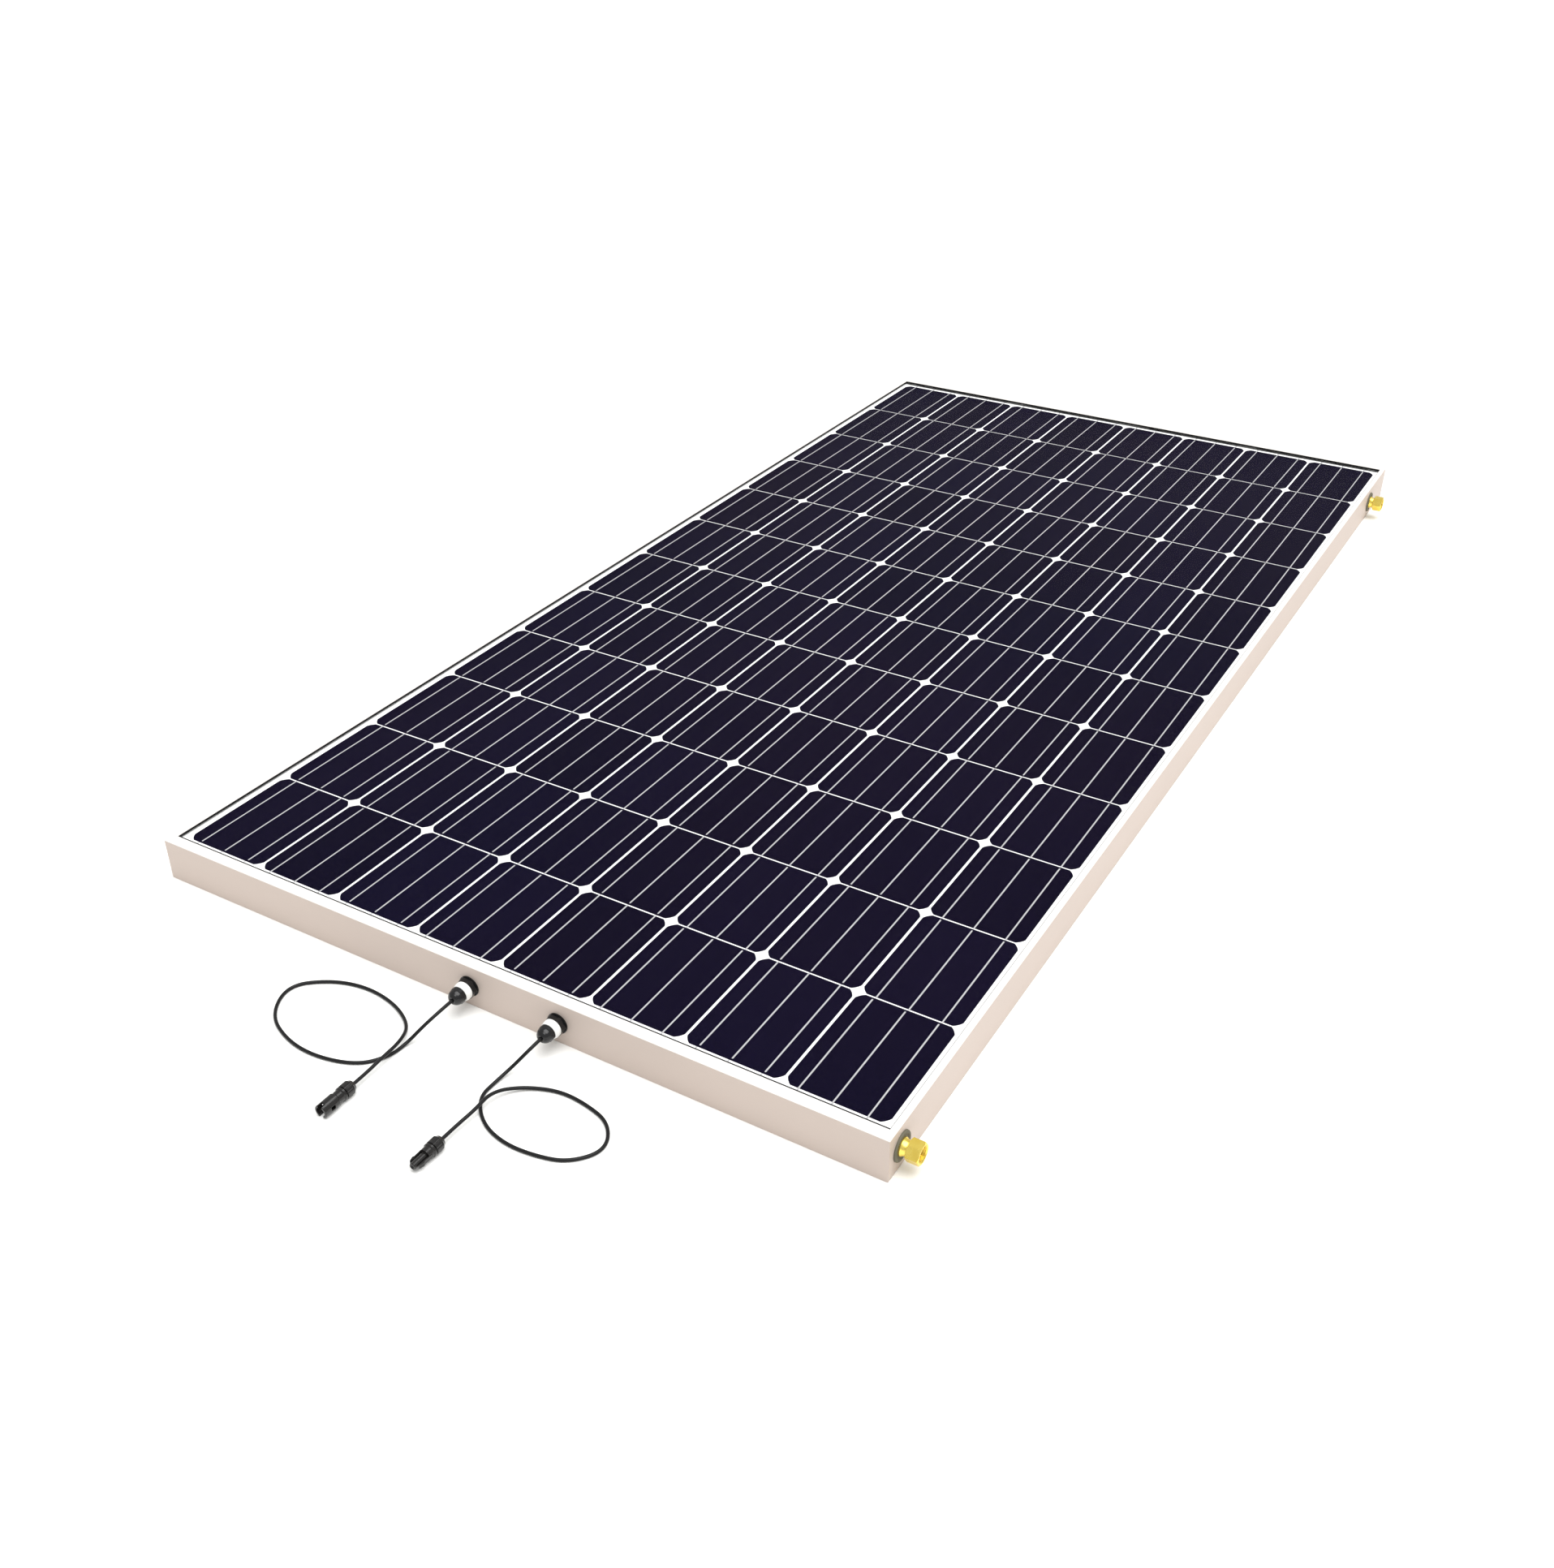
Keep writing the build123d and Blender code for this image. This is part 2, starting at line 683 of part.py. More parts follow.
def header_cap(y):
    """Cup over the closed end of a header."""
    frame = Plane(origin=(HEADER_LEFT_X, y, HEADER_Z), x_dir=(0, 1, 0), z_dir=(1, 0, 0))
    bore = HEADER_R + RIVET_FIT
    cup = turned(
        (0, -2),
        (CAP_R - 0.5, -2),
        (CAP_R, -1.5),
        (CAP_R, 10),
        (bore, 10),
        (bore, 0),
        (0, 0),
    )
    return frame * cup


def riser(x):
    """Riser under the absorber plate, cranked down into a header at each end."""
    front = FRONT_HEADER_Y + RISER_INTO_HEADER
    back = BACK_PORT_Y - RISER_INTO_HEADER
    crank_end = RISER_STRAIGHT + RISER_CRANK
    route = (
        (x, front, HEADER_Z),
        (x, front + RISER_STRAIGHT, HEADER_Z),
        (x, front + crank_end, RISER_Z),
        (x, back - crank_end, RISER_Z),
        (x, back - RISER_STRAIGHT, HEADER_Z),
        (x, back, HEADER_Z),
    )
    return swept(route, RISER_BEND, RISER_R, RISER_BORE_R)


def pipe_grommet():
    """Rubber boot in the wall hole, dished round the pipe."""
    return turned(
        (8.55, -4.4),
        (9.6, -4.4),
        (PORT_HOLE_R - 0.05, -3.9),
        (PORT_HOLE_R - 0.05, 0),
        (17.0, 0),
        (17.0, 1.6),
        (16.4, 2.4),
        (14.2, 2.5),
        (12.4, 1.5),
        (11.3, 1.3),
        (8.55, 1.3),
    )


def port_stub():
    """Brass tail: socket on the header, flared neck, collar that holds the nut."""
    return turned(
        (HEADER_R + RIVET_FIT, -24),
        (9.0, -24),
        (9.0, -9),
        (8.5, -8),
        (8.5, 1.4),
        (10.2, 1.4),
        (10.2, 2.8),
        (9.2, 4.6),
        (8.0, 8.6),
        (8.0, 12),
        (9.0, 12),
        (9.0, 14.5),
        (6.2, 14.5),
        (6.2, -10),
        (HEADER_R + RIVET_FIT, -10),
    )


def union_nut():
    """Loose hexagon nut held by the collar, chamfered at both ends."""
    corner_r = NUT_FLATS / sqrt(3)
    flat_r = NUT_FLATS / 2
    envelope = turned(
        (0, NUT_START),
        (flat_r, NUT_START),
        (corner_r + 0.1, NUT_START + 1.2),
        (corner_r + 0.1, NUT_END - 1.6),
        (flat_r, NUT_END),
        (0, NUT_END),
    )
    bore = turned(
        (0, NUT_START - 0.1),
        (8.35, NUT_START - 0.1),
        (8.35, 11.7),
        (9.7, 11.7),
        (9.7, 16.2),
        (9.3, 16.6),
        (9.3, 23.3),
        (10.1, NUT_END + 0.1),
        (0, NUT_END + 0.1),
    )
    return (hexagon(NUT_FLATS, NUT_START, NUT_END) & envelope) - bore


def union_washer():
    """Flat fibre seal against the collar."""
    return tube(9.0, 6.2, 14.5, 16.0)


# ---------------------------------------------------------------- electrics
def junction_box():
    """Open-bottomed box bonded to the backsheet; its roof has a window for the feeders."""
    box = block(-BOX_HALF_X, BOX_HALF_X, BOX_FRONT_Y, BOX_BACK_Y, BOX_LOW_Z, BACKSHEET_UNDER_Z)
    inside_x = BOX_HALF_X - BOX_WALL
    roof_z = BACKSHEET_UNDER_Z - BOX_WALL
    box -= block(-inside_x, inside_x, BOX_FRONT_Y + BOX_WALL, BOX_BACK_Y - BOX_WALL, BOX_LOW_Z, roof_z)
    window = (-BOX_WINDOW_HALF_X, BOX_WINDOW_HALF_X)
    slot_z = BACKSHEET_UNDER_Z - FEEDER_T - RIVET_FIT
    front_y = BOX_FRONT_Y + BOX_WALL
    box -= block(*window, front_y, BOX_WINDOW_BACK_Y, roof_z, BACKSHEET_UNDER_Z)
    box -= block(*window, BOX_FRONT_Y, BOX_WINDOW_BACK_Y, slot_z, BACKSHEET_UNDER_Z)
    for x in (TERMINAL_XS[0], TERMINAL_XS[-1]):
        hole = rod(SEAL_BORE_R, -BOX_WALL - 1, 1)
        box -= facing_front(x, BOX_FRONT_Y, INNER_LEAD_Z) * hole
    return box


def box_ring(inset):
    """Block on the lid, set in from the box's outer faces."""
    x = BOX_HALF_X - inset
    return block(-x, x, BOX_FRONT_Y + inset, BOX_BACK_Y - inset, BOX_LOW_Z, BOX_LOW_Z + LID_RIM)


def junction_box_lid():
    """Flat lid with a locating rim inside the box."""
    lid = block(-BOX_HALF_X, BOX_HALF_X, BOX_FRONT_Y, BOX_BACK_Y, LID_LOW_Z, BOX_LOW_Z)
    rim = box_ring(BOX_WALL + KEY_GAP) - box_ring(BOX_WALL + KEY_GAP + LID_RIM_WALL)
    return lid + rim


def terminal_clips():
    """Four clamping blocks under the feeder legs."""
    y0 = TERMINAL_Y - TERMINAL_HALF_Y
    y1 = TERMINAL_Y + TERMINAL_HALF_Y
    top = BACKSHEET_UNDER_Z - FEEDER_T
    width = TERMINAL_HALF_X
    return [block(x - width, x + width, y0, y1, TERMINAL_LOW_Z, top) for x in TERMINAL_XS]


def bypass_diode(left_x, right_x):
    """Axial diode wired between two neighbouring terminals."""
    middle = (left_x + right_x) / 2
    reach = (right_x - left_x) / 2 - TERMINAL_HALF_X
    frame = Plane(origin=(middle, TERMINAL_Y, DIODE_Z), x_dir=(0, 1, 0), z_dir=(1, 0, 0))
    return frame * (rod(DIODE_R, -DIODE_HALF, DIODE_HALF) + rod(DIODE_WIRE_R, -reach, reach))


def gland_body():
    """Nylon body: shank through the wall, collar, and the claw tube that grips the seal."""
    return turned(
        (SEAL_SEAT_R, -9),
        (7.5, -9),
        (GLAND_SHANK_R, -8.5),
        (GLAND_SHANK_R, GLAND_COLLAR_START),
        (10.4, GLAND_COLLAR_START),
        (10.9, GLAND_COLLAR_START + 0.6),
        (10.9, 12.6),
        (10.3, 13.4),
        (10.3, 15.6),
        (9.7, GLAND_DOME_START - 0.5),
        (7.2, GLAND_DOME_START - 0.5),
        (7.2, 22),
        (SEAL_SEAT_R, 22),
    )


def hex_ring(across_flats, outer_r, bore_r, z0, z1, bevel):
    """Bevelled hexagon nut with a round outline limit."""
    limit = turned(
        (0, z0),
        (outer_r - bevel, z0),
        (outer_r, z0 + bevel),
        (outer_r, z1 - bevel),
        (outer_r - bevel, z1),
        (0, z1),
    )
    return (hexagon(across_flats, z0, z1) & limit) - rod(bore_r, z0 - 1, z1 + 1)


def gland_outer_nut():
    """Flanged nut against the wall's outer face."""
    nut = hex_ring(22, 12.4, GLAND_NUT_BORE_R, 1.5, GLAND_COLLAR_START, 0.6)
    return nut + tube(12.8, GLAND_NUT_BORE_R, 0, 1.5)


def gland_inner_nut():
    """Thin nut against the wall's inner face."""
    return hex_ring(20, 11.4, GLAND_NUT_BORE_R, -WALL - 5, -WALL, 0.5)


def gland_seal():
    """Rubber insert round the lead."""
    return turned((SEAL_BORE_R, 10), (SEAL_R, 10), (SEAL_R, 22), (SEAL_R - 1, 23), (SEAL_BORE_R, 23))


def gland_nut():
    """Hexagonal skirt running into a dome with the lead's mouth in its top."""
    outside = turned(
        (0, GLAND_DOME_START),
        (9.5, GLAND_DOME_START),
        (10.0, GLAND_DOME_START + 0.5),
        (10.0, 21.5),
        (9.3, 22.4),
        (9.1, 23.6),
        (8.5, 25.6),
        (7.3, 27.6),
        (5.8, 29.1),
        (4.4, GLAND_MOUTH),
        (0, GLAND_MOUTH),
    )
    inside = turned(
        (0, GLAND_DOME_START - 0.1),
        (7.5, GLAND_DOME_START - 0.1),
        (7.5, 24.8),
        (2.7, 27.6),
        (2.7, GLAND_MOUTH + 0.1),
        (0, GLAND_MOUTH + 0.1),
    )
    return (outside & hexagon(18.8, GLAND_DOME_START, GLAND_MOUTH)) - inside


# ---------------------------------------------------------------- connectors on the free leads
def plug_frame(position):
    """Frame of a connector: local Z runs from the lead's end to the mating end."""
    x, y, z = position
    return facing_front(x, y, z)


def fluted(body, radius, count, z0, z1):
    """Finger grips cut round a body."""
    groove_r = 2.2
    for index in range(count):
        spot = Rot(0, 0, 360 * (index + 0.5) / count) * Pos(radius + groove_r - 0.6, 0, 0)
        body -= spot * rod(groove_r, z0, z1)
    return body


def plug_nut():
    """Cap nut at the lead's end of a connector."""
    shell = turned(
        (2.7, 0),
        (4.6, 0),
        (6.0, 1.2),
        (7.0, 3.2),
        (PLUG_NUT_R, 4.8),
        (PLUG_NUT_R, 13.4),
        (7.6, 14),
        (5.6, 14),
        (5.6, 5.2),
        (2.7, 3.4),
    )
    return fluted(shell, PLUG_NUT_R, 8, 5.2, 14.1)


def plug_seal():
    """Rubber insert under the cap nut."""
    return turned((SEAL_BORE_R, 7.5), (SEAL_R, 7.5), (SEAL_R, 14.4), (SEAL_BORE_R, 14.4))


def plug_tail():
    """Threaded tail, flange and waist shared by both connector bodies."""
    return turned(
        (0, 9),
        (5.2, 9),
        (5.2, 15),
        (PLUG_FLANGE_R - 0.3, 15),
        (PLUG_FLANGE_R, 15.4),
        (PLUG_FLANGE_R, 17.6),
        (PLUG_WAIST_R, 18.8),
        (PLUG_WAIST_R, PLUG_WAIST_END),
        (0, PLUG_WAIST_END),
    )


def contact_bore():
    """Seal seat and contact passage of a connector body."""
    return rod(SEAL_SEAT_R, 8.9, 15) + rod(2.3, 14, 60)


def pin_housing():
    """Pin connector body: open shell with two side windows and a forked mouth."""
    shell = turned(
        (0, PLUG_WAIST_END),
        (PLUG_WAIST_R, PLUG_WAIST_END),
        (7.8, 26.4),
        (7.8, 46.4),
        (7.3, 47),
        (0, 47),
    )
    body = plug_tail() + shell - contact_bore() - rod(5.5, 28, 48)
    body -= block(-9, 9, -2.4, 2.4, 33, 38.5)
    return body - block(-2.8, 2.8, -9, 9, 41, 48)


def pin_contact():
    """Pin with the crimp barrel that reaches back through the seal to the lead's end."""
    return turned(
        (0, 0),
        (LEAD_R, 0),
        (LEAD_R, 17),
        (CONTACT_R, 17),
        (CONTACT_R, 28),
        (1.5, 28.6),
        (1.5, 40),
        (0.8, 41),
        (0, 41),
    )


def socket_housing():
    """Socket connector body: narrow probe and two recesses for the latch arms."""
    probe = turned((0, PLUG_WAIST_END), (4.0, PLUG_WAIST_END), (4.0, 42.2), (3.4, 43), (0, 43))
    body = plug_tail() + probe - contact_bore()
    for side in (-1, 1):
        body -= Pos(side * 6.3, 0, 23.1) * Box(2.6, LATCH_W + 0.6, 4.0)
    return body


def socket_contact():
    """Sleeve contact with the crimp barrel that reaches back to the lead's end."""
    return turned(
        (0, 0),
        (LEAD_R, 0),
        (LEAD_R, 17),
        (CONTACT_R, 17),
        (CONTACT_R, 42),
        (1.55, 42),
        (1.55, 28),
        (0, 28),
    )


def latch_arm(side):
    """Latch arm with an outward hook; side is the sign of its x."""
    outline = Polygon(
        (5.4, 21.5),
        (6.8, 21.5),
        (6.8, 32.6),
        (7.6, 33.2),
        (7.6, 34.6),
        (6.2, 39.5),
        (5.4, 39.5),
        align=None,
    )
    facing_down = Plane(origin=(0, LATCH_W / 2, 0), x_dir=(1, 0, 0), z_dir=(0, -1, 0))
    arm = extrude(facing_down * outline, LATCH_W)
    arm += extrude(facing_down * (Pos(*LATCH_PIVOT) * Circle(LATCH_BEAD_R)), LATCH_W)
    return arm if side > 0 else mirror(arm, Plane.YZ)


# ---------------------------------------------------------------- build
def save_casing():
    """Rails, keys, cover, rivets and vents."""
    save("front_rail", front_rail())
    save("back_rail", back_rail())
    save("left_rail", side_rail(-1))
    save("right_rail", right_rail())
    save("corner_keys", *corner_keys())
    save("back_cover", back_cover())
    save("cover_rivets", *[Pos(x, y, 0) * rivet() for x, y in all_rivet_spots()])
    save("vent_plugs", *[Pos(x, y, 0) * vent_plug() for x, y in vent_spots()])
    save("insulation_board", insulation_board())


def save_laminate():
    """Glass, films, cells, ribbons and seal."""
    save("front_glass", front_glass())
    save("front_encapsulant", slab(GLASS_INSET, GLASS_INSET, RIBBON_TOP_Z, GLASS_UNDER_Z))
    for column in range(CELL_COLUMNS):
        save(f"cell_string_{column + 1}", *cell_string(column))
    save("interconnect_ribbons", *interconnect_ribbons())
    save("bus_ribbons", *bus_ribbons())
    save("bus_feeders", *[feeder(*row) for row in FEEDERS])
    save("rear_encapsulant", rear_encapsulant())
    backsheet = slab(GLASS_INSET, GLASS_INSET, BACKSHEET_UNDER_Z, BACKSHEET_TOP_Z)
    save("backsheet", backsheet - feeder_slits())
    save("laminate_gasket", laminate_gasket())


def save_hydraulics():
    """Plate, tubes, ports and union nuts."""
    ports = (FRONT_PORT_Y, BACK_PORT_Y)
    save("absorber_plate", absorber_plate())
    save("front_header", front_header())
    save("back_header", back_header())
    save("riser_tubes", *[riser(x) for x in RISER_XS])
    save("header_caps", header_cap(FRONT_HEADER_Y), header_cap(BACK_PORT_Y))
    save("pipe_grommets", *[facing_right(y) * pipe_grommet() for y in ports])
    save("front_port_stub", facing_right(FRONT_PORT_Y) * port_stub())
    save("back_port_stub", facing_right(BACK_PORT_Y) * port_stub())
    save("front_union_nut", facing_right(FRONT_PORT_Y) * union_nut())
    save("back_union_nut", facing_right(BACK_PORT_Y) * union_nut())
    save("union_washers", *[facing_right(y) * union_washer() for y in ports])


def save_electrics():
    """Junction box, inner leads and glands."""
    save("junction_box", junction_box())
    save("junction_box_lid", junction_box_lid())
    save("terminal_clips", *terminal_clips())
    save("bypass_diodes", *[bypass_diode(*pair) for pair in zip(TERMINAL_XS, TERMINAL_XS[1:])])
    inner = (lead("inner left", LEFT_INNER_ROUTE), lead("inner right", RIGHT_INNER_ROUTE))
    save("inner_leads", *inner)
    save("gland_bodies", *[facing_front(x) * gland_body() for x in GLAND_XS])
    outer_nuts = [facing_front(x) * gland_outer_nut() for x in GLAND_XS]
    inner_nuts = [facing_front(x) * gland_inner_nut() for x in GLAND_XS]
    save("gland_locknuts", *outer_nuts, *inner_nuts)
    for side, x in zip(("left", "right"), GLAND_XS):
        save(f"{side}_gland_seal", facing_front(x) * gland_seal())
        save(f"{side}_gland_nut", facing_front(x) * gland_nut())


def save_free_leads():
    """The two leads outside the casing with their connectors."""
    save("left_cable", lead("left cable", LEFT_ROUTE))
    save("right_cable", lead("right cable", RIGHT_ROUTE))
    pin = plug_frame(PIN_PLUG)
    socket = plug_frame(SOCKET_PLUG)
    save("pin_housing", pin * pin_housing())
    save("pin_contact", pin * pin_contact())
    save("pin_seal", pin * plug_seal())
    save("pin_nut", pin * plug_nut())
    save("socket_housing", socket * socket_housing())
    save("socket_contact", socket * socket_contact())
    save("socket_seal", socket * plug_seal())
    save("socket_nut", socket * plug_nut())
    save("latch_arm_left", socket * latch_arm(-1))
    save("latch_arm_right", socket * latch_arm(1))


save_casing()
save_laminate()
save_hydraulics()
save_electrics()
save_free_leads()
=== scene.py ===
"""Looks, light and camera for the photovoltaic-thermal panel.

Lengths are metres in the CAD frame: origin at the centre of the casing's underside, +Z up.
"""
import json
from math import cos, radians, sin, tau

import bmesh
import bpy
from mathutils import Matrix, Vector


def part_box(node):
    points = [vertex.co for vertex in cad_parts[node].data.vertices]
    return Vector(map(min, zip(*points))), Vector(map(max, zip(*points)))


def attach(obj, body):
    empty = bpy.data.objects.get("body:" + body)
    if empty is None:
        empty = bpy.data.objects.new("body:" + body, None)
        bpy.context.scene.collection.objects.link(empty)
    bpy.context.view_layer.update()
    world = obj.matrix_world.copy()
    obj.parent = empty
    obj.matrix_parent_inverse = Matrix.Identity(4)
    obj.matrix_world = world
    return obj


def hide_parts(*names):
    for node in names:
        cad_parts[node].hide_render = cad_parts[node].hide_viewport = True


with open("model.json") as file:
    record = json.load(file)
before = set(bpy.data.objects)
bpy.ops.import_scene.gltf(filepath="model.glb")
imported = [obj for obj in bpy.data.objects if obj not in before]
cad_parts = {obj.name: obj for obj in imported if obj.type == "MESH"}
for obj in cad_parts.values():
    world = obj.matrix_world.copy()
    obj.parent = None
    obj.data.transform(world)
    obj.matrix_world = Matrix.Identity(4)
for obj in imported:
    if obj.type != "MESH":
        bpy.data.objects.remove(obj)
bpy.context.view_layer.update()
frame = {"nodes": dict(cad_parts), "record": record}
nodes = frame["nodes"]
MM = 0.001

# ---------------------------------------------------------------- camera and light
CAMERA_PLACE = (0.9694, -2.0093, 1.1678)
CAMERA_AIM = (0.0805, -0.5104, 0.055)
LENS_MM = 37.0
SENSOR_MM = 36.0
FLOOR_HALF = 30.0
FLOOR_DROP = 0.2 * MM
WORLD_COLOUR = (1.0, 1.0, 0.985)
WORLD_STRENGTH = 0.6
BACKDROP_STRENGTH = 1.0
OVERHEAD_ENERGY = 3.4
OVERHEAD_SPREAD = 60.0
OVERHEAD_DIRECTION = (-0.24, 0.0, -1.0)

# ---------------------------------------------------------------- laminate measures for the materials
CELL_COLUMNS = 8
CELL_ROWS = 12
PITCH_X = 120.7 * MM
PITCH_Y = 162.8 * MM
FINGER_PITCH = 1.9 * MM
FINGER_SHARE = 0.10
FINGER_STRENGTH = 0.03
TINT_STRENGTH = 0.8
SHINE_POWER = 5.0

# ---------------------------------------------------------------- casing measures for the materials
# painted light: above this height the rail lips are painted paler, standing for the overhead light on their
# tops
LIP_PAINTED_LIGHT_Z = 54.0 * MM
LIP_PAINTED_LIGHT_REACH = 0.6 * MM

# ---------------------------------------------------------------- finishes: darkest and palest colour
CELL = ((0.0016, 0.0015, 0.0090), (0.0030, 0.0026, 0.0140))
RIBBON = ((0.40, 0.40, 0.42), (0.66, 0.65, 0.66))
RAIL_WALL = ((0.53, 0.445, 0.395), (0.60, 0.515, 0.465))
BRASS = ((0.86, 0.56, 0.05), (1.0, 0.84, 0.22))
COPPER = ((0.50, 0.21, 0.12), (0.80, 0.42, 0.27))
WOOL = ((0.42, 0.33, 0.15), (0.74, 0.64, 0.38))
BLACK = ((0.0045, 0.0045, 0.005), (0.013, 0.013, 0.014))
PLUG_BLACK = ((0.0045, 0.0045, 0.005), (0.020, 0.018, 0.017))
FLOOR = ((0.92, 0.92, 0.905), (0.94, 0.94, 0.925))
WHITE_FILM = ((0.93, 0.93, 0.93), (0.97, 0.97, 0.965))
WHITE_NYLON = ((0.80, 0.80, 0.78), (0.90, 0.90, 0.88))
SHEET_METAL = ((0.60, 0.61, 0.61), (0.74, 0.75, 0.75))
MID_METAL = ((0.48, 0.48, 0.49), (0.68, 0.68, 0.69))
TINNED = ((0.62, 0.62, 0.64), (0.80, 0.80, 0.82))
PALE_BRASS = ((0.55, 0.47, 0.32), (0.74, 0.66, 0.48))
RED_FIBRE = ((0.30, 0.08, 0.045), (0.45, 0.16, 0.09))
OLIVE_RUBBER = ((0.085, 0.078, 0.050), (0.16, 0.15, 0.10))
GREY_RUBBER = ((0.03, 0.03, 0.03), (0.055, 0.055, 0.055))

# ---------------------------------------------------------------- finishes: single colours and rolled grain
CELL_TINT = (0.0070, 0.0036, 0.0125)
FINGER_SILVER = (0.42, 0.43, 0.46)
# painted highlight: the paler colour painted on the lit tops of the rail lips
RAIL_LIP_PAINTED_LIGHT = (0.80, 0.775, 0.75)
GLASS_TINT = (0.995, 0.998, 0.998)
FILM_TINT = (0.999, 0.999, 0.999)
ROLLED_X = (0.2, 6.0, 1.0)
ROLLED_Y = (6.0, 0.2, 1.0)

# ---------------------------------------------------------------- thread turns inside the union nuts
THREAD_FROM_BACK = 8.2 * MM
THREAD_FROM_MOUTH = 1.0 * MM
THREAD_ROOT_R = 9.32 * MM
THREAD_CREST_R = 8.75 * MM
THREAD_PITCH = 1.4 * MM
THREAD_HALF_SHARE = 0.42
THREAD_STEPS = 48

# ---------------------------------------------------------------- free leads: the CAD routes
LEAD_DIAMETER = 4 * MM
LEAD_ROUNDNESS = 5
LEAD_SMOOTHNESS = 16
LEFT_ROUTE = (
    (-0.022, -1.030, 0.0275),
    (-0.022, -1.050, 0.0275),
    (-0.030, -1.070, 0.017),
    (-0.040, -1.087, 0.002),
    (-0.042, -1.112, 0.002),
    (-0.062, -1.139, 0.002),
    (-0.108, -1.152, 0.002),
    (-0.153, -1.149, 0.002),
    (-0.199, -1.128, 0.002),
    (-0.221, -1.081, 0.002),
    (-0.185, -1.050, 0.002),
    (-0.142, -1.038, 0.002),
    (-0.095, -1.044, 0.002),
    (-0.057, -1.064, 0.003),
    (-0.041, -1.094, 0.010),
    (-0.040, -1.126, 0.010),
    (-0.040, -1.149, 0.008),
    (-0.040, -1.168, 0.008),
)
RIGHT_ROUTE = (
    (0.099, -1.030, 0.0275),
    (0.099, -1.047, 0.0275),
    (0.086, -1.061, 0.009),
    (0.080, -1.082, 0.002),
    (0.080, -1.112, 0.002),
    (0.107, -1.139, 0.002),
    (0.142, -1.150, 0.002),
    (0.179, -1.148, 0.002),
    (0.214, -1.138, 0.002),
    (0.237, -1.106, 0.002),
    (0.217, -1.073, 0.002),
    (0.178, -1.063, 0.002),
    (0.144, -1.062, 0.002),
    (0.110, -1.077, 0.003),
    (0.092, -1.104, 0.010),
    (0.094, -1.134, 0.010),
    (0.091, -1.160, 0.008),
    (0.091, -1.182, 0.008),
)
LEFT_LENGTH = 0.597
RIGHT_LENGTH = 0.529
PIN_PLUG = ("pin_housing", "pin_contact", "pin_seal", "pin_nut")
SOCKET_PLUG = (
    "socket_housing",
    "socket_contact",
    "socket_seal",
    "socket_nut",
    "latch_arm_left",
    "latch_arm_right",
)


# ---------------------------------------------------------------- node helpers
EVEN = (1, 1, 1)
MIX_FACTOR = 0
MIX_FIRST = 6
MIX_SECOND = 7
MIX_RESULT = 2


def opaque(colour):
    """A socket as it is, or three numbers with full alpha."""
    return colour if isinstance(colour, bpy.types.NodeSocket) else (*colour, 1)


